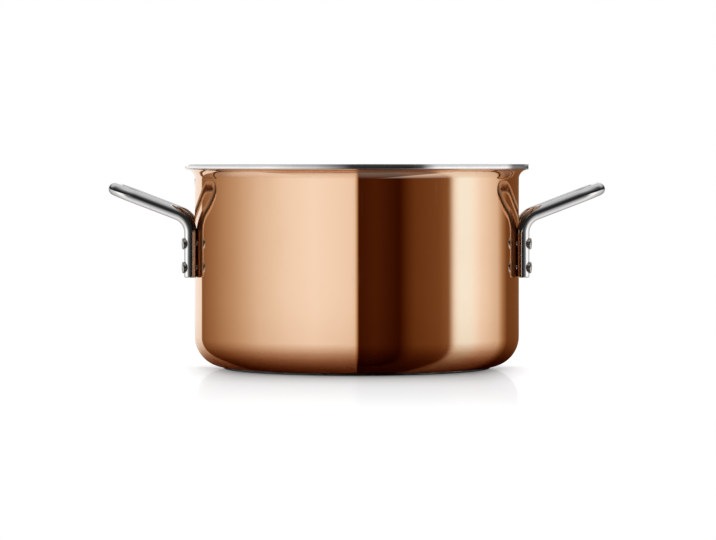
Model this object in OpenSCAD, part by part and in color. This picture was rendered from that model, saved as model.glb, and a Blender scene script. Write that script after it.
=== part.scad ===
// Two-handled stew pot in copper, lined with stainless steel.
// Millimetres, +Z up. The origin is the centre of the base, on the table, and the handles lie along X.
// The body is one drawn cup of three bonded layers, so every layer follows the same outline at its
// own depth below the copper face. Two bent steel rods are riveted to it, two rivets to a leg.

/* [Body] */
// Outside diameter of the straight copper wall
body_d = 205.6; // [180:0.2:250]
// Height from the table to the top of the rim
body_h = 129.4; // [100:0.2:180]
// Radius of the outer corner between wall and base
corner_r = 19; // [12:0.5:30]
// Radius of the outward curl under the rim
flare_r = 6.1; // [4:0.1:10]
// Thickness of the copper skin
copper_t = 0.5; // [0.4:0.1:1.2]
// Thickness of the aluminium core
core_t = 2.3; // [1:0.1:3]
// Thickness of the stainless steel liner
liner_t = 0.6; // [0.4:0.1:1]
// Radius that takes the sharp edge off the top of the rim
rim_edge_r = 0.3; // [0.1:0.1:0.5]

/* [Base plate] */
// Diameter of the steel disc bonded under the base
base_d = 169; // [120:1:180]
// Thickness of the steel disc
base_t = 1.2; // [0.8:0.1:3]
// Chamfer on the disc's lower edge
base_chamfer = 0.3; // [0.1:0.1:0.6]

/* [Handles] */
// Diameter of the handle rod
rod_d = 8; // [7.6:0.1:9]
// Distance between the two rods of a handle, centre to centre
loop_w = 42; // [36:1:70]
// Centreline radius of the loop's two outer corners
loop_corner_r = 14; // [9:0.5:17]
// Slope of the handle's arms above the horizontal, in degrees
arm_tilt = 21; // [10:0.5:35]
// Centreline radius of the bend from leg to arm
bend_r = 13; // [8:0.5:16]
// Overall width of the pot across both handles
overall_w = 314.2; // [296:0.2:360]
// Height of the lower end of a leg
leg_bottom_z = 58; // [40:0.5:70]
// Height where the centrelines of leg and arm would cross
elbow_z = 95.1; // [85:0.1:105]
// Depth of the seat pressed into a leg where it meets the wall
seat_press = 0.15; // [0.1:0.05:0.4]
// Chamfer on the cut end of a leg
leg_chamfer = 0.6; // [0.2:0.1:1]

/* [Rivets] */
// Height of the lower rivet of each leg
rivet_low_z = 64.3; // [62.5:0.1:68]
// Distance between the two rivets of a leg
rivet_pitch = 15; // [12:0.1:18]
// Diameter of the rivet shank and of its hole
shank_d = 4; // [3:0.1:4.4]
// Diameter of the outer head
head_d = 7.2; // [5.5:0.1:7.4]
// Depth of the flat seat that is cut in the rod for the outer head
head_seat = 1.1; // [0.6:0.1:1.8]
// Height of the outer head's upright edge above its seat
head_edge_h = 2.2; // [1:0.1:2.6]
// Radius that rounds the top of the outer head's edge
head_edge_r = 0.3; // [0.1:0.1:0.6]
// Height of the low dome on the outer head
head_dome_h = 0.4; // [0.2:0.1:1]
// Clearance round the outer head in its seat
head_clear = 0.05; // [0.02:0.01:0.1]
// Diameter of the low head inside the pot
inner_head_d = 8; // [6:0.1:10]
// Height of the low head inside the pot
inner_head_h = 1.6; // [1:0.1:2.5]

/* [Hidden] */
$fn = 96;

SIDES = ["left", "right"];
LEGS = ["front", "rear"];
LEVELS = ["lower", "upper"];

COPPER = "#c9855b";
ALUMINIUM = "#b9bcbf";
STEEL = "#d6d7d8";

// Length by which a cutter runs past what it cuts
over = 1;

// Depth of each layer's faces below the outside of the copper
core_depth = copper_t;
liner_depth = copper_t + core_t;
wall_t = copper_t + core_t + liner_t;

body_r = body_d / 2;
cavity_r = body_r - wall_t;
corner_x = body_r - corner_r;
corner_z = base_t + corner_r;
flare_x = body_r + flare_r;
flare_z = body_h - flare_r - wall_t;

// Place of a leg: its seat is pressed on the wall, and half the loop's width lies along Y
rod_r = rod_d / 2;
// Length by which a straight stretch of rod runs into a bend
lap = 0.01;
leg_dist = body_r + rod_r - seat_press;
leg_x = sqrt(pow(leg_dist, 2) - pow(loop_w / 2, 2));
leg_azimuth = asin(loop_w / 2 / leg_dist);

// Side view of a handle: the leg ends where the bend starts, and the bend turns it to the arm's slope
bend_turn = 90 - arm_tilt;
tangent_l = bend_r * tan(bend_turn / 2);
bend_z = elbow_z - tangent_l;
arm_x = leg_x + tangent_l * cos(arm_tilt);
arm_z = elbow_z + tangent_l * sin(arm_tilt);
arm_l = (overall_w / 2 - rod_r - arm_x) / cos(arm_tilt) - loop_corner_r;

// Spherical radius of a cap with a given rim radius and height
function cap_r(rim_r, h) = (pow(rim_r, 2) + pow(h, 2)) / (2 * h);

function sign_of(side) = side == "right" ? 1 : -1;
function azimuth(side, leg) =
    (leg == "front" ? -leg_azimuth : leg_azimuth) * sign_of(side) + (side == "right" ? 0 : 180);
function rivet_z(level) = level == "lower" ? rivet_low_z : rivet_low_z + rivet_pitch;
function rivet_name(side, leg, level) = str(side, "_", leg, "_", level, "_rivet");

// One quarter of a flat ring, from the given angle anticlockwise
module quarter_band(r_in, r_out, angle) {
    intersection() {
        difference() {
            circle(r_out);
            circle(r_in);
        }
        rotate(angle) square(r_out + over);
    }
}

// Half section of a layer of the cup between two depths: floor, corner, wall and flare
module layer_section(depth_out, depth_in) {
    t = depth_in - depth_out;
    translate([0, base_t + depth_out]) square([corner_x, t]);
    translate([corner_x, corner_z]) quarter_band(corner_r - depth_in, corner_r - depth_out, 270);
    translate([body_r - depth_in, corner_z]) square([t, flare_z - corner_z]);
    translate([flare_x, flare_z]) quarter_band(flare_r + depth_out, flare_r + depth_in, 90);
}

// Cuts the rim's top edge round, at the outer end of the flare
module rim_edge_cut() {
    translate([flare_x - rim_edge_r, body_h - rim_edge_r]) difference() {
        square(2 * rim_edge_r);
        circle(rim_edge_r);
    }
}

// Places its children on a rivet's axis, with +Z pointing out of the pot and zero on the pot's own axis
module on_rivet_axis(side, leg, level) {
    rotate(azimuth(side, leg)) translate([0, 0, rivet_z(level)]) rotate([0, 90, 0]) children();
}

// The holes of all the rivets through the wall
module rivet_holes() {
    for (side = SIDES, leg = LEGS, level = LEVELS)
        on_rivet_axis(side, leg, level)
            translate([0, 0, cavity_r - inner_head_h]) cylinder(d = shank_d, h = 2 * wall_t + inner_head_h);
}

module cup_layer(depth_out, depth_in) {
    difference() {
        rotate_extrude() layer_section(depth_out, depth_in);
        rivet_holes();
    }
}

module copper_shell() {
    color(COPPER) cup_layer(0, core_depth);
}

module aluminium_core() {
    color(ALUMINIUM) cup_layer(core_depth, liner_depth);
}

module steel_liner() {
    color(STEEL) difference() {
        rotate_extrude() difference() {
            layer_section(liner_depth, wall_t);
            rim_edge_cut();
        }
        rivet_holes();
    }
}

module base_plate() {
    color(STEEL) {
        cylinder(d1 = base_d - 2 * base_chamfer, d2 = base_d, h = base_chamfer);
        translate([0, 0, base_chamfer]) cylinder(d = base_d, h = base_t - base_chamfer);
    }
}

// A straight stretch of rod along +Z from z = 0, run a hair past both ends
module rod(l) {
    translate([0, 0, -lap]) cylinder(d = rod_d, h = l + 2 * lap);
}

// A bent stretch of rod round the Z axis, a hair thinner, so that its ends sit inside the straight rod
module rod_bend(r, angle) {
    rotate_extrude(angle = angle) translate([r, 0]) circle(d = rod_d - 2 * lap);
}

// One side of a handle's loop, from the leg's cut end to the middle of the outer bar
module half_loop() {
    bar_l = loop_w / 2 - loop_corner_r;
    translate([leg_x, loop_w / 2, 0]) {
        translate([0, 0, leg_bottom_z]) {
            cylinder(d1 = rod_d - 2 * leg_chamfer, d2 = rod_d, h = leg_chamfer);
            translate([0, 0, leg_chamfer]) rod(bend_z - leg_bottom_z - leg_chamfer);
        }
        translate([bend_r, 0, bend_z]) rotate([90, 0, 0]) rotate(180 - bend_turn)
            rod_bend(bend_r, bend_turn);
    }
    translate([arm_x, 0, arm_z]) rotate([0, -arm_tilt, 0]) {
        translate([0, loop_w / 2, 0]) rotate([0, 90, 0]) rod(arm_l);
        translate([arm_l, bar_l, 0]) rod_bend(loop_corner_r, 90);
        translate([arm_l + loop_corner_r, 0, 0]) rotate([-90, 0, 0]) rod(bar_l);
    }
}

// A whole handle on the right: its legs are pressed to the wall, drilled, and seated for the outer heads
module handle() {
    difference() {
        union() {
            half_loop();
            mirror([0, 1, 0]) half_loop();
        }
        cylinder(r = body_r, h = body_h);
        for (leg = LEGS, level = LEVELS)
            on_rivet_axis("right", leg, level) {
                translate([0, 0, body_r - over]) cylinder(d = shank_d, h = rod_d + over);
                translate([0, 0, leg_dist + rod_r - head_seat])
                    cylinder(d = head_d + 2 * head_clear, h = head_seat + over);
            }
    }
}

module left_handle() {
    color(STEEL) mirror([1, 0, 0]) handle();
}

module right_handle() {
    color(STEEL) handle();
}

// A dome on the plane z = 0, as a body of revolution
module dome(d, h) {
    rotate_extrude() intersection() {
        translate([0, h - cap_r(d / 2, h)]) circle(cap_r(d / 2, h));
        square([d, h]);
    }
}

// The outer head on the plane z = 0: an upright edge, rounded at the top, under a low dome
module pan_head() {
    r = head_d / 2;
    rotate_extrude() {
        square([r - head_edge_r, head_edge_h]);
        square([r, head_edge_h - head_edge_r]);
        translate([r - head_edge_r, head_edge_h - head_edge_r]) quarter_band(0, head_edge_r, 0);
    }
    translate([0, 0, head_edge_h]) dome(head_d - 2 * head_edge_r, head_dome_h);
}

// A rivet: the outer head stands in its seat in the rod, and the inner head lies on the curved liner
module rivet(side, leg, level) {
    seat_at = leg_dist + rod_r - head_seat;
    color(STEEL) {
        on_rivet_axis(side, leg, level) {
            translate([0, 0, cavity_r - inner_head_h / 2])
                cylinder(d = shank_d, h = seat_at - cavity_r + inner_head_h / 2);
            translate([0, 0, seat_at]) pan_head();
        }
        intersection() {
            cylinder(r = cavity_r, h = body_h);
            on_rivet_axis(side, leg, level) translate([0, 0, cavity_r]) {
                mirror([0, 0, 1]) dome(inner_head_d, inner_head_h);
            }
        }
    }
}

copper_shell();
aluminium_core();
steel_liner();
base_plate();
left_handle();
right_handle();
for (side = SIDES, leg = LEGS, level = LEVELS)
    rivet(side, leg, level);
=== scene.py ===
import math
import bmesh
import bpy
from mathutils import Matrix, Vector


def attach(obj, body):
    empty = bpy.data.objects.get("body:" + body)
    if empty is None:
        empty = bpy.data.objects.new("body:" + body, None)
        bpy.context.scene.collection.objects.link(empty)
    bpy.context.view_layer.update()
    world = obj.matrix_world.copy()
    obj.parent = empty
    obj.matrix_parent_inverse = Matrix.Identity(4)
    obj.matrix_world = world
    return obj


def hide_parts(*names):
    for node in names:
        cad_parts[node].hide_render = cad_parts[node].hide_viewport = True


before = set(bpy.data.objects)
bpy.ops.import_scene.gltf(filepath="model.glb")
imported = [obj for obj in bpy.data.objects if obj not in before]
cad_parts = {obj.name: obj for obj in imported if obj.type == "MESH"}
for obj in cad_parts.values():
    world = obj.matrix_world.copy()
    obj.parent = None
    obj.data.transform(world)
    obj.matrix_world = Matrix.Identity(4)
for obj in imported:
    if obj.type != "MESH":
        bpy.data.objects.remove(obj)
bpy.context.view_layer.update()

# Copper skin. The outside of the body is a half-millimetre copper sheet, bonded to the core before
# the cup was drawn. It is buffed to a mirror on the lathe, so its finest lines run round the pot.
# The lip is rolled outwards under the rim, and its cut edge shows as the lowest stripe of the rim.
body_r = 0.1028
body_h = 0.1294
base_t = 0.0012
corner_r = 0.019
flare_r = 0.0061
copper_t = 0.0005
core_t = 0.0023
liner_t = 0.0006
wall_t = copper_t + core_t + liner_t
corner_x = body_r - corner_r
corner_z = base_t + corner_r
flare_x = body_r + flare_r
flare_z = body_h - flare_r - wall_t
seam_r = 0.00012
seam_steps = 3
corner_steps = 28
flare_steps = 24
round_steps = 360
merge_gap = 1e-7
pick_gap = 1e-5
crease_angle = math.radians(35)


def run(bm, start, x, z):
    end = bm.verts.new((x, 0, z))
    bm.edges.new((start, end))
    return end


def turn(bm, start, centre, degrees, steps):
    arc = bmesh.ops.spin(
        bm, geom=[start], cent=(centre[0], 0, centre[1]), axis=(0, 1, 0),
        angle=math.radians(degrees), steps=steps)
    return [part for part in arc["geom_last"] if isinstance(part, bmesh.types.BMVert)][0]


def revolve(bm, steps=round_steps):
    bmesh.ops.spin(
        bm, geom=bm.verts[:] + bm.edges[:], cent=(0, 0, 0), axis=(0, 0, 1),
        angle=math.tau, steps=steps, use_merge=True)
    bmesh.ops.remove_doubles(bm, verts=bm.verts, dist=merge_gap)
    bmesh.ops.recalc_face_normals(bm, faces=bm.faces)


def make_piece(bm, name, material, slot, *nodes):
    mesh = bpy.data.meshes.new(name)
    bm.to_mesh(mesh)
    bm.free()
    mesh.materials.append(material)
    piece = bpy.data.objects.new(name, mesh)
    bpy.context.scene.collection.objects.link(piece)
    mesh.shade_smooth()
    mesh.set_sharp_from_angle(angle=crease_angle)
    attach(piece, "root")
    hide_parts(*nodes)
    return piece


# Half the section through one layer of the wall. A depth is measured inwards from the copper's outside.
def cup_section(depth_out, depth_in):
    bm = bmesh.new()
    at = bm.verts.new((0, 0, base_t + depth_out))
    at = run(bm, at, corner_x, base_t + depth_out)
    at = turn(bm, at, (corner_x, corner_z), -90, corner_steps)
    at = run(bm, at, body_r - depth_out, flare_z)
    at = turn(bm, at, (flare_x, flare_z), 90, flare_steps)
    top_out = flare_z + flare_r + depth_out
    top_in = flare_z + flare_r + depth_in
    at = run(bm, at, flare_x, top_out)
    at = run(bm, at, flare_x, top_in)
    at = turn(bm, at, (flare_x, flare_z), -90, flare_steps)
    at = run(bm, at, body_r - depth_in, corner_z)
    at = turn(bm, at, (corner_x, corner_z), 90, corner_steps)
    run(bm, at, 0, base_t + depth_in)
    bmesh.ops.remove_doubles(bm, verts=bm.verts, dist=merge_gap)
    return bm


def soften_lip(bm, above_z, edge_r, steps):
    ends = [v for v in bm.verts if v.co.x > flare_x - pick_gap and v.co.z > above_z]
    bmesh.ops.bevel(
        bm, geom=ends, offset=edge_r, affect="VERTICES", segments=steps, profile=0.5, material=-1)


def new_group(name, inputs, outputs):
    group = bpy.data.node_groups.new(name, "ShaderNodeTree")
    for label, kind in inputs:
        group.interface.new_socket(label, in_out="INPUT", socket_type=kind)
    for label, kind in outputs:
        group.interface.new_socket(label, in_out="OUTPUT", socket_type=kind)
    return group, group.nodes.new("NodeGroupInput"), group.nodes.new("NodeGroupOutput")


def math_node(tree, operation, first, second=None, third=None, clamp=False):
    node = tree.nodes.new("ShaderNodeMath")
    node.operation = operation
    node.use_clamp = clamp
    for socket, value in zip(node.inputs, (first, second, third)):
        if isinstance(value, (int, float)):
            socket.default_value = value
        elif value is not None:
            tree.links.new(value, socket)
    return node.outputs[0]


def noise_node(tree, vector, scale, detail, roughness):
    node = tree.nodes.new("ShaderNodeTexNoise")
    node.inputs["Scale"].default_value = scale
    node.inputs["Detail"].default_value = detail
    node.inputs["Roughness"].default_value = roughness
    tree.links.new(vector, node.inputs["Vector"])
    return node.outputs["Fac"]


# A smooth rise from 0 to 1 between the two values of a reach, and a smooth fall over the same reach
def rise_over(tree, value, reach):
    node = tree.nodes.new("ShaderNodeMapRange")
    node.interpolation_type = "SMOOTHSTEP"
    node.inputs["From Min"].default_value = reach[0]
    node.inputs["From Max"].default_value = reach[1]
    tree.links.new(value, node.inputs["Value"])
    return node.outputs["Result"]


def fall_over(tree, value, reach):
    return math_node(tree, "SUBTRACT", 1.0, rise_over(tree, value, reach))


# Lines left by a buff or a cutting tool on a turning piece: they run round the pot's own axis
change_per_metre = 22.0
lathe_lines, lathe_in, lathe_out = new_group(
    "lathe_lines",
    [("Position", "NodeSocketVector"), ("Lines per metre", "NodeSocketFloat")],
    [("Lines", "NodeSocketFloat")])
split = lathe_lines.nodes.new("ShaderNodeSeparateXYZ")
lathe_lines.links.new(lathe_in.outputs["Position"], split.inputs[0])
across = math_node(lathe_lines, "SQRT", math_node(
    lathe_lines, "ADD",
    math_node(lathe_lines, "MULTIPLY", split.outputs["X"], split.outputs["X"]),
    math_node(lathe_lines, "MULTIPLY", split.outputs["Y"], split.outputs["Y"])))
along = math_node(lathe_lines, "ADD", across, split.outputs["Z"])
tight = math_node(lathe_lines, "MULTIPLY", along, lathe_in.outputs["Lines per metre"])
join = lathe_lines.nodes.new("ShaderNodeCombineXYZ")
lathe_lines.links.new(tight, join.inputs["X"])
for axis, slow_axis in (("X", "Y"), ("Y", "Z")):
    slow = math_node(lathe_lines, "MULTIPLY", split.outputs[axis], change_per_metre)
    lathe_lines.links.new(slow, join.inputs[slow_axis])
lathe_lines.links.new(
    noise_node(lathe_lines, join.outputs[0], scale=1.0, detail=3.0, roughness=0.6),
    lathe_out.inputs["Lines"])

# Faint haze from hands and cloths: soft patches where the polish is a little duller
patch_reach = (0.45, 0.72)
haze, haze_in, haze_out = new_group(
    "handling_haze",
    [("Position", "NodeSocketVector"), ("Patch scale", "NodeSocketFloat")],
    [("Haze", "NodeSocketFloat")])
patch = haze.nodes.new("ShaderNodeTexNoise")
patch.inputs["Detail"].default_value = 5.0
patch.inputs["Roughness"].default_value = 0.62
haze.links.new(haze_in.outputs["Position"], patch.inputs["Vector"])
haze.links.new(haze_in.outputs["Patch scale"], patch.inputs["Scale"])
haze.links.new(rise_over(haze, patch.outputs["Fac"], patch_reach), haze_out.inputs["Haze"])

# Hairline scratches: three sets of thin, short marks, each with its tilt in radians and how many of
# them would lie side by side in a metre
scratch_sets = ((0.5, 500.0), (2.1, 620.0), (3.7, 430.0))
second_tilt = 0.7
third_tilt = 1.3
along_per_metre = 16.0
scratch_reach = (0.71, 0.76)
scratches, scratches_in, scratches_out = new_group(
    "hairline_scratches",
    [("Position", "NodeSocketVector"), ("Amount", "NodeSocketFloat")],
    [("Scratches", "NodeSocketFloat")])
crossed = 0.0
for tilt, across_per_metre in scratch_sets:
    place = scratches.nodes.new("ShaderNodeMapping")
    place.inputs["Rotation"].default_value = (tilt, tilt * second_tilt, tilt * third_tilt)
    place.inputs["Scale"].default_value = (across_per_metre, along_per_metre, along_per_metre)
    scratches.links.new(scratches_in.outputs["Position"], place.inputs["Vector"])
    grain = noise_node(scratches, place.outputs[0], scale=1.0, detail=1.0, roughness=0.5)
    crossed = math_node(scratches, "MAXIMUM", rise_over(scratches, grain, scratch_reach), crossed)
scratches.links.new(
    math_node(scratches, "MULTIPLY", crossed, scratches_in.outputs["Amount"]),
    scratches_out.inputs["Scratches"])


def position_of(material):
    tree = material.node_tree
    coordinates = tree.nodes.get("Texture Coordinate")
    if coordinates is None:
        coordinates = tree.nodes.new("ShaderNodeTexCoord")
    return coordinates.outputs["Object"]


def place_group(material, group, **values):
    tree = material.node_tree
    node = tree.nodes.new("ShaderNodeGroup")
    node.node_tree = group
    tree.links.new(position_of(material), node.inputs["Position"])
    for label, value in values.items():
        node.inputs[label.replace("_", " ")].default_value = value
    return node.outputs[0]


def new_metal(name, colour, marked):
    material = bpy.data.materials.new(name)
    material.use_nodes = True
    shader = material.node_tree.nodes["Principled BSDF"]
    shader.inputs["Metallic"].default_value = 1.0
    tint = material.node_tree.nodes.new("ShaderNodeMix")
    tint.data_type = "RGBA"
    tint.inputs["A"].default_value = (*colour, 1)
    tint.inputs["B"].default_value = (*marked, 1)
    material.node_tree.links.new(tint.outputs["Result"], shader.inputs["Base Color"])
    return material, shader, tint


# The value of plain metal, and the share that each kind of mark adds to it
def add_marks(tree, marks, plain=0.0, **shares):
    total = plain
    for mark, share in shares.items():
        total = math_node(tree, "MULTIPLY_ADD", marks[mark], share, total)
    return total


def bump_from(material, shader, height, distance):
    bump = material.node_tree.nodes.new("ShaderNodeBump")
    bump.inputs["Distance"].default_value = distance
    material.node_tree.links.new(height, bump.inputs["Height"])
    material.node_tree.links.new(bump.outputs["Normal"], shader.inputs["Normal"])


def mix_colours(tree, factor, first, second, blend_type="MIX"):
    node = tree.nodes.new("ShaderNodeMix")
    node.data_type = "RGBA"
    node.blend_type = blend_type
    for label, value in (("Factor", factor), ("A", first), ("B", second)):
        if isinstance(value, (int, float, tuple)):
            node.inputs[label].default_value = value
        else:
            tree.links.new(value, node.inputs[label])
    return node.outputs["Result"]


# Painted reflection: what other polished metal shows of this one is painted a browner colour, and is duller
def painted_mirror_image(tree, shader, tint, dull, painted_image_colour, image_roughness):
    rays = tree.nodes.new("ShaderNodeLightPath")
    mirrored = rays.outputs["Is Glossy Ray"]
    tree.links.new(
        mix_colours(tree, mirrored, tint.outputs["Result"], painted_image_colour), shader.inputs["Base Color"])
    tree.links.new(math_node(
        tree, "MAXIMUM", dull, math_node(tree, "MULTIPLY", mirrored, image_roughness)),
        shader.inputs["Roughness"])


polished_copper, copper_shader, copper_tint = new_metal(
    "polished_copper", colour=(0.93, 0.66, 0.47), marked=(0.84, 0.55, 0.37))
tree = polished_copper.node_tree
copper_marks = {
    "lines": place_group(polished_copper, lathe_lines, Lines_per_metre=3500.0),
    "haze": place_group(polished_copper, haze, Patch_scale=26.0),
    "scratches": place_group(polished_copper, scratches, Amount=0.5)}
tree.links.new(add_marks(tree, copper_marks, lines=0.10, haze=0.16), copper_tint.inputs["Factor"])
copper_height = add_marks(tree, copper_marks, lines=1.0, scratches=-1.0)
bump_from(polished_copper, copper_shader, copper_height, distance=0.0000006)

# Painted reflection and shade: other metal sees the copper painted browner, darkest round the left leg
left_leg_x = (-0.094, -0.084)
copper_axes = tree.nodes.new("ShaderNodeSeparateXYZ")
tree.links.new(position_of(polished_copper), copper_axes.inputs[0])
painted_shade_at_left_leg = fall_over(tree, copper_axes.outputs["X"], left_leg_x)
painted_copper_image = mix_colours(tree, painted_shade_at_left_leg, first=(0.72, 0.45, 0.28, 1), second=(0.36, 0.19, 0.11, 1))
copper_dull = add_marks(tree, copper_marks, plain=0.022, scratches=0.10, haze=0.045)
painted_mirror_image(tree, copper_shader, copper_tint, copper_dull, painted_copper_image, image_roughness=0.15)

copper_section = cup_section(0, copper_t)
soften_lip(copper_section, flare_z, seam_r, seam_steps)
revolve(copper_section)
copper_skin = make_piece(copper_section, "copper_skin", polished_copper, "copper", "copper_shell")

# Aluminium core. The thick middle layer spreads the heat, and only its cut edge shows, as the wide
# stripe of the rim between the copper's edge and the steel's. It was faced on the lathe with the rim.
edge_aluminium, edge_shader, edge_tint = new_metal(
    "faced_aluminium", colour=(0.86, 0.86, 0.87), marked=(0.72, 0.73, 0.75))
tree = edge_aluminium.node_tree
edge_marks = {
    "lines": place_group(edge_aluminium, lathe_lines, Lines_per_metre=9000.0),
    "haze": place_group(edge_aluminium, haze, Patch_scale=60.0)}
tree.links.new(add_marks(tree, edge_marks, haze=0.4), edge_tint.inputs["Factor"])
tree.links.new(add_marks(tree, edge_marks, plain=0.05, lines=0.06), edge_shader.inputs["Roughness"])
bump_from(edge_aluminium, edge_shader, edge_marks["lines"], distance=0.000002)

core_section = cup_section(copper_t, copper_t + core_t)
soften_lip(core_section, flare_z, seam_r, seam_steps)
revolve(core_section)
core_edge = make_piece(core_section, "core_edge", edge_aluminium, "aluminium", "aluminium_core")

# Stainless steel liner. It is the inside of the pot and the top of the rim, bonded to the core and
# drawn with it. The inside is brushed round and round to a satin finish, and the rim is polished.
rim_edge_r = 0.0003
rim_edge_steps = 5
rim_polish_z = (0.1215, 0.1245)
rim_roughness = 0.04
satin_steel, liner_shader, liner_tint = new_metal(
    "satin_steel", colour=(0.78, 0.78, 0.77), marked=(0.60, 0.60, 0.60))
tree = satin_steel.node_tree
liner_marks = {
    "lines": place_group(satin_steel, lathe_lines, Lines_per_metre=5200.0),
    "haze": place_group(satin_steel, haze, Patch_scale=22.0),
    "scratches": place_group(satin_steel, scratches, Amount=0.6)}
liner_axes = tree.nodes.new("ShaderNodeSeparateXYZ")
tree.links.new(position_of(satin_steel), liner_axes.inputs[0])
brushed = fall_over(tree, liner_axes.outputs["Z"], rim_polish_z)
liner_shade = add_marks(tree, liner_marks, haze=0.2, lines=0.7)
tree.links.new(math_node(tree, "MULTIPLY", liner_shade, brushed), liner_tint.inputs["Factor"])
liner_dull = add_marks(tree, liner_marks, plain=0.16, scratches=0.08, haze=0.06, lines=0.14)
tree.links.new(
    math_node(tree, "MULTIPLY_ADD", liner_dull, brushed, rim_roughness), liner_shader.inputs["Roughness"])
liner_height = add_marks(tree, liner_marks, lines=1.0, scratches=-0.5)
bump_from(
    satin_steel, liner_shader, math_node(tree, "MULTIPLY", liner_height, brushed), distance=0.00001)

liner_section = cup_section(copper_t + core_t, wall_t)
soften_lip(liner_section, body_h - pick_gap, rim_edge_r, rim_edge_steps)
revolve(liner_section)
steel_lining = make_piece(liner_section, "steel_lining", satin_steel, "polished_steel", "steel_liner")

# Base disc. A flat steel disc is bonded under the copper so that the pot also works on induction.
# Its underside is turned, which leaves fine rings, and its lower edge is chamfered.
disc_r = 0.0845
disc_chamfer = 0.0003
turned_steel, disc_shader, disc_tint = new_metal(
    "turned_steel", colour=(0.50, 0.48, 0.47), marked=(0.36, 0.35, 0.34))
tree = turned_steel.node_tree
disc_marks = {
    "lines": place_group(turned_steel, lathe_lines, Lines_per_metre=2600.0),
    "haze": place_group(turned_steel, haze, Patch_scale=18.0),
    "scratches": place_group(turned_steel, scratches, Amount=0.9)}
tree.links.new(add_marks(tree, disc_marks, scratches=0.3, lines=0.8), disc_tint.inputs["Factor"])
disc_dull = add_marks(tree, disc_marks, plain=0.2, haze=0.1, lines=0.16)
tree.links.new(disc_dull, disc_shader.inputs["Roughness"])
disc_height = add_marks(tree, disc_marks, lines=1.0, scratches=-1.0)
bump_from(turned_steel, disc_shader, disc_height, distance=0.00003)

disc_section = bmesh.new()
at = disc_section.verts.new((0, 0, 0))
at = run(disc_section, at, disc_r - disc_chamfer, 0)
at = run(disc_section, at, disc_r, disc_chamfer)
at = run(disc_section, at, disc_r, base_t)
run(disc_section, at, 0, base_t)
revolve(disc_section)
make_piece(disc_section, "base_disc", turned_steel, "base_steel", "base_plate")

# Handles. Each is one round steel rod, bent to a loop in the press and buffed along its length.
# Its two legs are pressed to the wall, drilled through, and spot-faced for the outer rivet heads.
rod_r = 0.004
loop_w = 0.042
loop_corner_r = 0.014
arm_tilt = math.radians(21)
bend_r = 0.013
overall_w = 0.3142
leg_bottom_z = 0.058
elbow_z = 0.0951
seat_press = 0.00015
leg_chamfer = 0.0006
rivet_low_z = 0.0643
rivet_pitch = 0.015
head_r = 0.0036
head_seat = 0.0011
head_clear = 0.00005
leg_dist = body_r + rod_r - seat_press
leg_x = math.sqrt(leg_dist ** 2 - (loop_w / 2) ** 2)
leg_azimuth = math.asin(loop_w / 2 / leg_dist)
bend_turn = math.pi / 2 - arm_tilt
tangent_l = bend_r * math.tan(bend_turn / 2)
bend_z = elbow_z - tangent_l
arm_x = leg_x + tangent_l * math.cos(arm_tilt)
arm_z = elbow_z + tangent_l * math.sin(arm_tilt)
arm_l = (overall_w / 2 - rod_r - arm_x) / math.cos(arm_tilt) - loop_corner_r
seat_at = leg_dist + rod_r - head_seat
rod_steps = 64
bend_steps = 28
loop_corner_steps = 36
rivet_steps = 64
middle_gap = 1e-6

rod_steel, rod_shader, rod_tint = new_metal(
    "polished_steel", colour=(0.80, 0.80, 0.80), marked=(0.62, 0.62, 0.63))
tree = rod_steel.node_tree
rod_marks = {
    "haze": place_group(rod_steel, haze, Patch_scale=90.0),
    "scratches": place_group(rod_steel, scratches, Amount=0.7)}
tree.links.new(add_marks(tree, rod_marks, scratches=0.3, haze=0.25), rod_tint.inputs["Factor"])
rod_dull = add_marks(tree, rod_marks, plain=0.035, scratches=0.10, haze=0.06)
# Painted reflection: other polished metal sees the rods painted copper brown and duller
painted_mirror_image(
    tree, rod_shader, rod_tint, rod_dull, painted_image_colour=(0.66, 0.38, 0.21, 1), image_roughness=0.35)
bump_from(rod_steel, rod_shader, rod_marks["scratches"], distance=-0.000002)


def stretch_ring(bm, ring, shift, size=1.0):
    grown = bmesh.ops.extrude_edge_only(bm, edges=ring)["geom"]
    verts = [part for part in grown if isinstance(part, bmesh.types.BMVert)]
    edges = [part for part in grown if isinstance(part, bmesh.types.BMEdge)]
    bmesh.ops.translate(bm, verts=verts, vec=shift)
    if size != 1.0:
        middle = sum((v.co for v in verts), Vector()) / len(verts)
        bmesh.ops.scale(bm, verts=verts, vec=(size, size, size), space=Matrix.Translation(-middle))
    return [edge for edge in edges if all(v in verts for v in edge.verts)]


def bend_ring(bm, ring, centre, axis, angle, steps):
    verts = list({v for edge in ring for v in edge.verts})
    arc = bmesh.ops.spin(
        bm, geom=verts + ring, cent=centre, axis=axis, angle=angle, steps=steps)
    return [part for part in arc["geom_last"] if isinstance(part, bmesh.types.BMEdge)]


def rivet_place(side, leg, level):
    turn_by = (-leg_azimuth if leg == "front" else leg_azimuth) * (1 if side == "right" else -1)
    turn_by += 0 if side == "right" else math.pi
    height = rivet_low_z + (rivet_pitch if level == "upper" else 0)
    return (Matrix.Rotation(turn_by, 4, "Z") @ Matrix.Translation((0, 0, height))
            @ Matrix.Rotation(math.pi / 2, 4, "Y"))


def add_cylinder(bm, radius, low, high, place, segments):
    made = bmesh.ops.create_cone(
        bm, cap_ends=True, segments=segments, radius1=radius, radius2=radius, depth=high - low)
    bmesh.ops.translate(bm, verts=made["verts"], vec=(0, 0, (low + high) / 2))
    bmesh.ops.transform(bm, verts=made["verts"], matrix=place)


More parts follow.
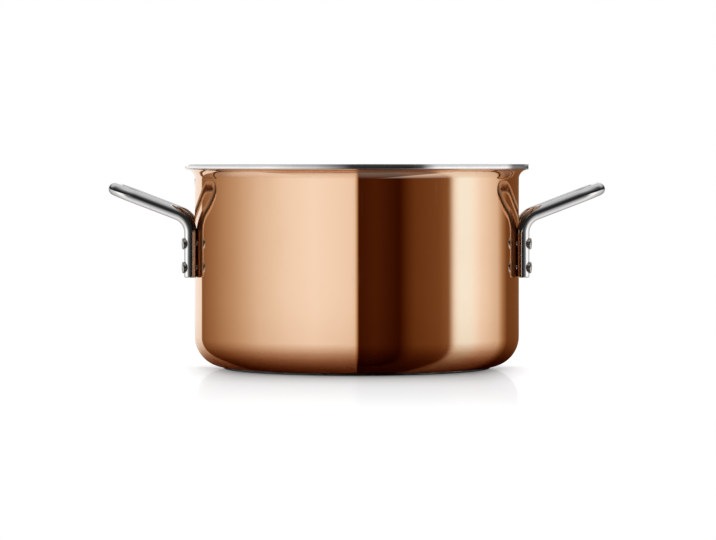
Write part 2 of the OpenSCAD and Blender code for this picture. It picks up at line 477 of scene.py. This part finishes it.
# Half a loop, from the chamfered end of the rear leg to the middle of the grip, and its mirror image
def rod_loop():
    bm = bmesh.new()
    end_r = rod_r - leg_chamfer
    made = bmesh.ops.create_circle(bm, cap_ends=True, radius=end_r, segments=rod_steps)
    bmesh.ops.translate(bm, verts=made["verts"], vec=(leg_x, loop_w / 2, leg_bottom_z))
    ring = stretch_ring(bm, bm.edges[:], (0, 0, leg_chamfer), rod_r / end_r)
    ring = stretch_ring(bm, ring, (0, 0, bend_z - leg_bottom_z - leg_chamfer))
    ring = bend_ring(bm, ring, (leg_x + bend_r, loop_w / 2, bend_z), (0, 1, 0), bend_turn, bend_steps)
    out = Vector((math.cos(arm_tilt), 0, math.sin(arm_tilt)))
    ring = stretch_ring(bm, ring, out * arm_l)
    corner = Vector((arm_x, loop_w / 2 - loop_corner_r, arm_z)) + out * arm_l
    inwards = Vector((0, -1, 0))
    ring = bend_ring(bm, ring, corner, out.cross(inwards), math.pi / 2, loop_corner_steps)
    stretch_ring(bm, ring, (0, loop_corner_r - loop_w / 2, 0))
    bmesh.ops.mirror(
        bm, geom=bm.verts[:] + bm.edges[:] + bm.faces[:], matrix=Matrix.Identity(4),
        merge_dist=middle_gap, axis="Y")
    bmesh.ops.recalc_face_normals(bm, faces=bm.faces)
    return bm


# What the legs lose: the pot's wall behind them, and a spot face for each outer rivet head
def seat_cutter(side):
    tools = bmesh.new()
    add_cylinder(tools, body_r, leg_bottom_z - rod_r, elbow_z, Matrix.Identity(4), round_steps)
    for leg in ("front", "rear"):
        for level in ("lower", "upper"):
            place = rivet_place(side, leg, level)
            add_cylinder(
                tools, head_r + head_clear, seat_at, seat_at + 2 * head_seat, place, rivet_steps)
    cutter_mesh = bpy.data.meshes.new(side + "_cutter")
    tools.to_mesh(cutter_mesh)
    tools.free()
    cutter = bpy.data.objects.new(side + "_cutter", cutter_mesh)
    bpy.context.scene.collection.objects.link(cutter)
    return cutter


handle_pieces = {"left": [], "right": []}
for side in ("right", "left"):
    loop = rod_loop()
    if side == "left":
        bmesh.ops.scale(loop, verts=loop.verts, vec=(-1, 1, 1))
        bmesh.ops.recalc_face_normals(loop, faces=loop.faces)
    rough_mesh = bpy.data.meshes.new(side + "_rod")
    loop.to_mesh(rough_mesh)
    loop.free()
    rough = bpy.data.objects.new(side + "_rod", rough_mesh)
    bpy.context.scene.collection.objects.link(rough)
    cutter = seat_cutter(side)
    cut = rough.modifiers.new("seats", "BOOLEAN")
    cut.operation = "DIFFERENCE"
    cut.solver = "EXACT"
    cut.object = cutter
    bpy.context.view_layer.update()
    seated = rough.evaluated_get(bpy.context.evaluated_depsgraph_get()).to_mesh()
    finished = bmesh.new()
    finished.from_mesh(seated)
    bpy.data.objects.remove(rough)
    bpy.data.objects.remove(cutter)
    handle_pieces[side].append(
        make_piece(finished, side + "_rod_handle", rod_steel, "handle_steel", side + "_handle"))

# Rivets. Eight steel rivets hold the handles, two through each leg. The outer head has an upright
# edge under a low dome and stands in its spot face, and the inner head lies flat on the lining.
shank_r = 0.002
head_edge_h = 0.0022
head_edge_r = 0.0003
head_edge_steps = 6
head_dome_h = 0.0004
dome_steps = 12
inner_head_r = 0.004
inner_head_h = 0.0016
inner_edge_lift = 0.00008
cavity_r = body_r - wall_t
rivet_steel, rivet_shader, rivet_tint = new_metal(
    "rivet_steel", colour=(0.78, 0.78, 0.78), marked=(0.55, 0.55, 0.56))
tree = rivet_steel.node_tree
rivet_marks = {
    "haze": place_group(rivet_steel, haze, Patch_scale=260.0),
    "scratches": place_group(rivet_steel, scratches, Amount=0.8)}
tree.links.new(add_marks(tree, rivet_marks, scratches=0.3, haze=0.4), rivet_tint.inputs["Factor"])
rivet_dull = add_marks(tree, rivet_marks, plain=0.24, scratches=0.1, haze=0.10)
tree.links.new(rivet_dull, rivet_shader.inputs["Roughness"])
rivet_height = add_marks(tree, rivet_marks, haze=1.0, scratches=-1.0)
bump_from(rivet_steel, rivet_shader, rivet_height, distance=0.00001)


def dome_turn(bm, start, rim_r, height, sign):
    ball_r = (rim_r ** 2 + height ** 2) / (2 * height)
    centre = (0, start.co.z + sign * (height - ball_r))
    return turn(bm, start, centre, -sign * math.degrees(math.asin(rim_r / ball_r)), dome_steps)


for side in ("left", "right"):
    for leg in ("front", "rear"):
        for level in ("lower", "upper"):
            rivet = bmesh.new()
            at = rivet.verts.new((head_r - head_edge_r, 0, seat_at + head_edge_h))
            dome_turn(rivet, at, head_r - head_edge_r, head_dome_h, 1)
            edge_centre = (head_r - head_edge_r, seat_at + head_edge_h - head_edge_r)
            at = turn(rivet, at, edge_centre, 90, head_edge_steps)
            at = run(rivet, at, head_r, seat_at)
            at = run(rivet, at, shank_r, seat_at)
            at = run(rivet, at, shank_r, cavity_r)
            at = run(rivet, at, inner_head_r, cavity_r - inner_edge_lift)
            dome_turn(rivet, at, inner_head_r, inner_head_h - inner_edge_lift, -1)
            revolve(rivet, rivet_steps)
            bmesh.ops.transform(rivet, verts=rivet.verts, matrix=rivet_place(side, leg, level))
            name = f"{side}_{leg}_{level}"
            handle_pieces[side].append(
                make_piece(rivet, name + "_rivet_head", rivet_steel, "rivet_steel", name + "_rivet"))

# Floor. One wide pale sheet takes the pot's soft shadow, deepened by a painted shadow, and a faint mirror
# image of it. Polished metal sees the cards through it under a painted shadow, darker and redder close to
# the pot, and a painted white glow where the metal is high up and looks steeply down, most under the arms.
floor_half_w = 30
floor_colour = (0.8, 0.8, 0.8, 1)
floor_lift = 0.36
# Painted light on the floor: lighter left of the pot, and white beside and behind it
painted_left_lift = 0.05
left_x = (-0.004, 0.004)
beside_x = (0.07, 0.115)
beside_y = (-0.03, 0.03)
beside_r = (0.26, 0.45)
image_share = 0.14
image_r = (0.16, 0.42)
# Painted shade and light in what metal sees of the floor: a redder shadow near the pot, and a white glow
painted_shadow_warmth = (1.5, 1.9)
white_level = (0.9, 0.9, 0.9, 1)
under_arms_x = (0.115, 0.135)
elsewhere_white = 0.17
high_ray_l = (0.088, 0.1)
slant_gain = 1.25
behind_y = (-0.02, 0.08)
behind_loss = 0.55

# Each stop is a distance from the pot's axis and the level there of painted shadow or painted light
shadow_stops = [(0.084, 0.50), (0.095, 0.62), (0.124, 0.80), (0.162, 0.95), (0.20, 1.0)]
painted_light_beside_stops = [(0.10, 0.75), (0.14, 0.66), (0.20, 0.52), (0.30, 0.43), (0.50, 0.37)]
painted_near_shadow_stops = [
    (0.084, 0.04), (0.090, 0.07), (0.095, 0.12), (0.100, 0.20), (0.109, 0.38), (0.127, 0.62),
    (0.15, 0.75), (0.21, 0.86), (0.40, 0.93), (0.65, 0.98), (0.9, 1.0)]


def level_ramp(tree, value, stops):
    node = tree.nodes.new("ShaderNodeValToRGB")
    elements = node.color_ramp.elements
    while len(elements) < len(stops):
        elements.new(position=0.5)
    for element, (place, brightness) in zip(elements, stops):
        element.position = place
        element.color = (brightness, brightness, brightness, 1)
    tree.links.new(value, node.inputs["Fac"])
    return node.outputs["Color"]


# A grey turned to copper's own red brown: the darker it is, the redder it comes out
def warmed(tree, colour, warmth):
    parts = tree.nodes.new("ShaderNodeSeparateColor")
    tree.links.new(colour, parts.inputs[0])
    whole = tree.nodes.new("ShaderNodeCombineColor")
    tree.links.new(parts.outputs[0], whole.inputs[0])
    for place, power in enumerate(warmth, 1):
        tree.links.new(math_node(tree, "POWER", parts.outputs[0], power), whole.inputs[place])
    return whole.outputs[0]


def mix_shaders(tree, factor, first, second):
    node = tree.nodes.new("ShaderNodeMixShader")
    tree.links.new(factor, node.inputs["Fac"])
    tree.links.new(first.outputs[0], node.inputs[1])
    tree.links.new(second.outputs[0], node.inputs[2])
    return node


floor_mesh = bpy.data.meshes.new("floor")
sheet = bmesh.new()
bmesh.ops.create_grid(sheet, x_segments=1, y_segments=1, size=floor_half_w)
sheet.to_mesh(floor_mesh)
sheet.free()
floor = bpy.data.objects.new("floor", floor_mesh)
bpy.context.scene.collection.objects.link(floor)
floor_white = bpy.data.materials.new("floor_white")
floor_white.use_nodes = True
floor_mesh.materials.append(floor_white)
tree = floor_white.node_tree
floor_shader = tree.nodes["Principled BSDF"]
floor_shader.inputs["Roughness"].default_value = 1.0
floor_shader.inputs["Specular IOR Level"].default_value = 0.0
floor_shader.inputs["Emission Color"].default_value = (1, 1, 1, 1)
rays = tree.nodes.new("ShaderNodeLightPath")
floor_place = tree.nodes.new("ShaderNodeVectorMath")
floor_place.operation = "LENGTH"
tree.links.new(position_of(floor_white), floor_place.inputs[0])
from_axis = floor_place.outputs["Value"]
floor_axes = tree.nodes.new("ShaderNodeSeparateXYZ")
tree.links.new(position_of(floor_white), floor_axes.inputs[0])
floor_x = floor_axes.outputs["X"]
floor_y = floor_axes.outputs["Y"]
off_centre = math_node(tree, "ABSOLUTE", floor_x)

# What the camera sees: a white floor with a painted shadow under the pot
shadow = level_ramp(tree, from_axis, shadow_stops)
tree.links.new(mix_colours(tree, 1.0, shadow, floor_colour, "MULTIPLY"), floor_shader.inputs["Base Color"])
# Painted light: the floor a little lighter left of the pot
painted_light_left = math_node(tree, "MULTIPLY", fall_over(tree, floor_x, left_x), painted_left_lift)
painted_front_lift = math_node(tree, "MULTIPLY", shadow, math_node(tree, "ADD", painted_light_left, floor_lift))
# Painted light: beside and behind the pot the floor is painted white over the shadow it gets
painted_light_beside_pot = math_node(tree, "MAXIMUM", rise_over(tree, off_centre, beside_x), math_node(
    tree, "MAXIMUM", rise_over(tree, floor_y, beside_y), rise_over(tree, from_axis, beside_r)))
painted_lift = mix_colours(tree, painted_light_beside_pot, painted_front_lift, level_ramp(tree, from_axis, painted_light_beside_stops))
seen_lift = math_node(tree, "MULTIPLY", rays.outputs["Is Camera Ray"], painted_lift)
tree.links.new(seen_lift, floor_shader.inputs["Emission Strength"])
mirror = tree.nodes.new("ShaderNodeBsdfGlossy")
mirror.inputs["Roughness"].default_value = 0.02
mirror.inputs["Color"].default_value = (1, 1, 1, 1)
mirror_share = math_node(tree, "MULTIPLY", fall_over(tree, from_axis, image_r), image_share)
seen_floor = mix_shaders(tree, mirror_share, floor_shader, mirror)

# What polished metal sees: the cards beyond the floor, under a painted shadow that is darker and redder
# near the pot
pass_through = tree.nodes.new("ShaderNodeBsdfTransparent")
tree.links.new(
    warmed(tree, level_ramp(tree, from_axis, painted_near_shadow_stops), painted_shadow_warmth), pass_through.inputs["Color"])
# Painted light: a white glow of the floor seen steeply from high up, most under the arms, weaker behind the
# pot
painted_white_floor = tree.nodes.new("ShaderNodeEmission")
painted_white_floor.inputs["Color"].default_value = white_level
slant = tree.nodes.new("ShaderNodeLayerWeight")
slant.inputs["Blend"].default_value = 0.5
painted_light_under_handles = math_node(tree, "MAXIMUM", elsewhere_white, rise_over(tree, off_centre, under_arms_x))
from_high_up = rise_over(tree, rays.outputs["Ray Length"], high_ray_l)
seen_steeply = math_node(
    tree, "SUBTRACT", 1.0, math_node(tree, "MULTIPLY", slant.outputs["Facing"], slant_gain), clamp=True)
behind = math_node(tree, "MULTIPLY", rise_over(tree, floor_y, behind_y), behind_loss)
in_front = math_node(tree, "SUBTRACT", 1.0, behind)
painted_white_share = math_node(
    tree, "MULTIPLY", math_node(tree, "MULTIPLY", painted_light_under_handles, from_high_up),
    math_node(tree, "MULTIPLY", in_front, seen_steeply))
mirrored_floor = mix_shaders(tree, painted_white_share, pass_through, painted_white_floor)
floor_look = mix_shaders(tree, rays.outputs["Is Glossy Ray"], seen_floor, mirrored_floor)
tree.links.new(floor_look.outputs[0], tree.nodes["Material Output"].inputs["Surface"])

# Studio. What the pot mirrors is written by compass bearing, with zero towards the camera and plus to
# the right: tall soft cards, and above them the walls of the room. Below the horizon the copper, the
# rim and each handle have cards of their own, by light linking. The camera sees plain white.
copper_surround_r = 28
handle_surround_r = {"left": 26, "right": 24}
rim_surround_r = 22
steady_lean = 0.2
left_lean = 0.7
left_lean_bearing = (math.radians(80), math.radians(125))
cool_from = (math.radians(66), math.radians(80))
cool_to = (math.radians(82), math.radians(100))
cool_colour = (1.0, 1.2, 1.3, 1)
card_warmth = (1.55, 2.2)
rim_gain = 0.64
high_rear_bearing = (math.radians(105), math.radians(150))
rear_bearing = (math.radians(150), math.radians(170))
room_light = (0.8, 0.8, 0.8, 1)

# Heights are in degrees above the horizon
horizon = (-0.2, -0.1)
top_card_height = (-0.55, -0.25)
wall_foot = (1.0, 2.4)
high_rear_height = (12, 30)

# Each stop of a card is a bearing in degrees and the light's level there
left_card = [
    (-180, 0.97), (-144, 0.97), (-142, 0.25), (-120, 0.38), (-95, 0.57), (-72, 0.80), (-50, 0.94)]
right_card_end = [
    (90, 1.02), (104, 0.90), (118, 0.74), (126, 0.38), (133, 0.17), (155, 0.19), (179, 0.25)]
close_stops = left_card + [
    (-30, 1.0), (-12, 0.95), (-4, 0.92), (-0.6, 0.86), (1, 0.05), (13, 0.07), (30, 0.035), (35, 0.09),
    (41, 0.14), (49, 0.16), (60, 0.19), (68, 0.26), (73.5, 0.86), (79, 1.05)] + right_card_end
top_stops = left_card + [
    (-34, 0.95), (-18, 0.75), (-10, 0.40), (-6, 0.05), (30, 0.035), (50, 0.05), (60, 0.12), (70, 0.30),
    (77, 0.9), (84, 1.03)] + right_card_end
handle_stops = [
    (-180, 0.03), (-58, 0.03), (-51, 0.30), (-36, 0.30), (-29, 0.012), (-10, 0.015), (8, 0.045),
    (20, 0.08), (40, 0.25), (50, 0.6), (60, 1.15), (80, 1.3), (96, 0.95), (112, 0.75), (130, 0.65),
    (160, 0.3), (179, 0.1)]
rim_stops = [
    (-180, 0.98), (-120, 0.98), (-60, 1.05), (-40, 0.75), (-28, 0.65), (-11, 0.22), (-4, 0.03),
    (36, 0.02), (44, 0.08), (55, 1.1), (120, 1.1), (128, 0.25), (179, 0.06)]

# Each stop of a wall is a share of the way from the horizon to straight up, and the level there
front_wall_stops = [
    (0.03, 0.02), (0.25, 0.025), (0.34, 0.045), (0.44, 0.11), (0.55, 0.22), (0.64, 0.36),
    (0.73, 0.50), (0.79, 0.60), (0.88, 0.69)]
rear_wall_stops = [(0.12, 1.0), (0.25, 0.69)]


# The bearing is in radians and the height in degrees. A hand of -1 swaps left and right.
def bearing_and_height(tree, direction, hand=1.0):
    unit = tree.nodes.new("ShaderNodeVectorMath")
    unit.operation = "NORMALIZE"
    tree.links.new(direction, unit.inputs[0])
    parts = tree.nodes.new("ShaderNodeSeparateXYZ")
    tree.links.new(unit.outputs[0], parts.inputs[0])
    bearing = math_node(
        tree, "ARCTAN2", math_node(tree, "MULTIPLY", parts.outputs["X"], hand),
        math_node(tree, "MULTIPLY", parts.outputs["Y"], -1.0))
    height = math_node(tree, "MULTIPLY", math_node(tree, "ARCSINE", parts.outputs["Z"]), math.degrees(1))
    return bearing, height


# The ramp goes once round the compass, from -180 degrees at its start to 180 at its end
def card_ring(tree, bearing, stops):
    round_share = math_node(tree, "MULTIPLY_ADD", bearing, 1 / math.tau, 0.5)
    return level_ramp(tree, round_share, [(degrees / 360 + 0.5, share) for degrees, share in stops])


def new_surround(name, receivers, radius, hand=1.0):
    shell = bmesh.new()
    bmesh.ops.create_uvsphere(shell, u_segments=48, v_segments=24, radius=radius)
    mesh = bpy.data.meshes.new(name)
    shell.to_mesh(mesh)
    shell.free()
    surround = bpy.data.objects.new(name, mesh)
    bpy.context.scene.collection.objects.link(surround)
    surround.visible_camera = False
    surround.visible_diffuse = False
    surround.visible_shadow = False
    lit = bpy.data.collections.new(name + "_receivers")
    for piece in receivers:
        lit.objects.link(piece)
    surround.light_linking.receiver_collection = lit
    material = bpy.data.materials.new(name)
    material.use_nodes = True
    material.cycles.emission_sampling = "NONE"
    mesh.materials.append(material)
    tree = material.node_tree
    tree.nodes.remove(tree.nodes["Principled BSDF"])
    glow = tree.nodes.new("ShaderNodeEmission")
    both = tree.nodes.new("ShaderNodeAddShader")
    tree.links.new(tree.nodes.new("ShaderNodeBsdfTransparent").outputs[0], both.inputs[0])
    tree.links.new(glow.outputs[0], both.inputs[1])
    tree.links.new(both.outputs[0], tree.nodes["Material Output"].inputs["Surface"])
    bearing, height = bearing_and_height(tree, position_of(material), hand)
    return tree, glow, bearing, height


# The copper's cards bend below it, so that their images run on round its lower corner. The rows just
# under the rim look closest to the horizon and mirror the top cards.
tree, glow, bearing, height = new_surround("copper_surround", [copper_skin], copper_surround_r)
tree.links.new(fall_over(tree, height, horizon), glow.inputs["Strength"])
flat_share = math_node(tree, "COSINE", math_node(tree, "MULTIPLY", height, math.radians(1)))
to_right = math_node(tree, "MULTIPLY", flat_share, math_node(tree, "SINE", bearing))
to_front = math_node(tree, "MULTIPLY", flat_share, math_node(tree, "COSINE", bearing))
upright = math_node(tree, "MULTIPLY", 2.0, math_node(
    tree, "ARCTAN2", to_right, math_node(tree, "ADD", to_front, 1.0)))
far_left = rise_over(tree, math_node(tree, "MULTIPLY", upright, -1.0), left_lean_bearing)
lean = math_node(tree, "MULTIPLY_ADD", far_left, left_lean, steady_lean)
card_bearing = math_node(tree, "MULTIPLY_ADD", math_node(tree, "SUBTRACT", bearing, upright), lean, upright)
close_cards = card_ring(tree, card_bearing, close_stops)
top_cards = card_ring(tree, card_bearing, top_stops)
all_cards = mix_colours(tree, rise_over(tree, height, top_card_height), close_cards, top_cards)
cool_card = math_node(
    tree, "MULTIPLY", rise_over(tree, card_bearing, cool_from), fall_over(tree, card_bearing, cool_to))
tree.links.new(
    mix_colours(tree, cool_card, warmed(tree, all_cards, card_warmth), cool_colour), glow.inputs["Color"])

for side, hand in (("left", -1.0), ("right", 1.0)):
    tree, glow, bearing, height = new_surround(
        side + "_handle_surround", handle_pieces[side], handle_surround_r[side], hand)
    tree.links.new(fall_over(tree, height, horizon), glow.inputs["Strength"])
    tree.links.new(card_ring(tree, bearing, handle_stops), glow.inputs["Color"])

tree, glow, bearing, height = new_surround("rim_surround", [core_edge, steel_lining], rim_surround_r)
rim_level = math_node(tree, "MULTIPLY_ADD", rise_over(tree, height, wall_foot), rim_gain, 1.0)
tree.links.new(
    math_node(tree, "SUBTRACT", rim_level, rise_over(tree, height, horizon)), glow.inputs["Strength"])
tree.links.new(card_ring(tree, bearing, rim_stops), glow.inputs["Color"])

# The world shows the rim's cards to all polished metal at the horizon, and the walls above them
studio = bpy.data.worlds.new("studio")
bpy.context.scene.world = studio
studio.use_nodes = True
studio.cycles.sampling_method = "NONE"
tree = studio.node_tree
look = tree.nodes.new("ShaderNodeTexCoord")
bearing, height = bearing_and_height(tree, look.outputs["Generated"])
edge_cards = card_ring(tree, bearing, rim_stops)
up = math_node(tree, "MULTIPLY", height, 1 / 90)
front_wall = level_ramp(tree, up, front_wall_stops)
rear_wall = level_ramp(tree, up, rear_wall_stops)
from_front = math_node(tree, "ABSOLUTE", bearing)
high_rear = math_node(
    tree, "MULTIPLY", rise_over(tree, from_front, high_rear_bearing),
    rise_over(tree, height, high_rear_height))
to_rear = math_node(tree, "MAXIMUM", high_rear, rise_over(tree, from_front, rear_bearing))
walls = mix_colours(tree, to_rear, front_wall, rear_wall)
above = mix_colours(tree, rise_over(tree, height, wall_foot), edge_cards, walls)
cards = mix_colours(tree, rise_over(tree, height, horizon), (0, 0, 0, 1), above)
rays = tree.nodes.new("ShaderNodeLightPath")
evenly = mix_colours(tree, rays.outputs["Is Diffuse Ray"], cards, room_light)
seen = mix_colours(tree, rays.outputs["Is Camera Ray"], evenly, (1, 1, 1, 1))
tree.links.new(seen, tree.nodes["Background"].inputs["Color"])

# Camera. It stands level with the rim, a little over two metres in front of the pot's axis. Its
# shift puts the axis and the rim where the photograph has them, in pixels from the picture's middle.
camera_dist = 2.2
lens_mm = 174.2
sensor_mm = 36
view_end = 20
picture_w_px = 716
axis_left_px = 1.2
rim_up_px = 106
camera_data = bpy.data.cameras.new("camera")
camera = bpy.data.objects.new("camera", camera_data)
bpy.context.scene.collection.objects.link(camera)
bpy.context.scene.camera = camera
camera.location = (0, -camera_dist, body_h)
camera.rotation_euler = (math.pi / 2, 0, 0)
camera_data.lens = lens_mm
camera_data.sensor_width = sensor_mm
camera_data.shift_x = axis_left_px / picture_w_px
camera_data.shift_y = -rim_up_px / picture_w_px
camera_data.clip_end = view_end
bpy.context.scene.view_settings.view_transform = "Standard"
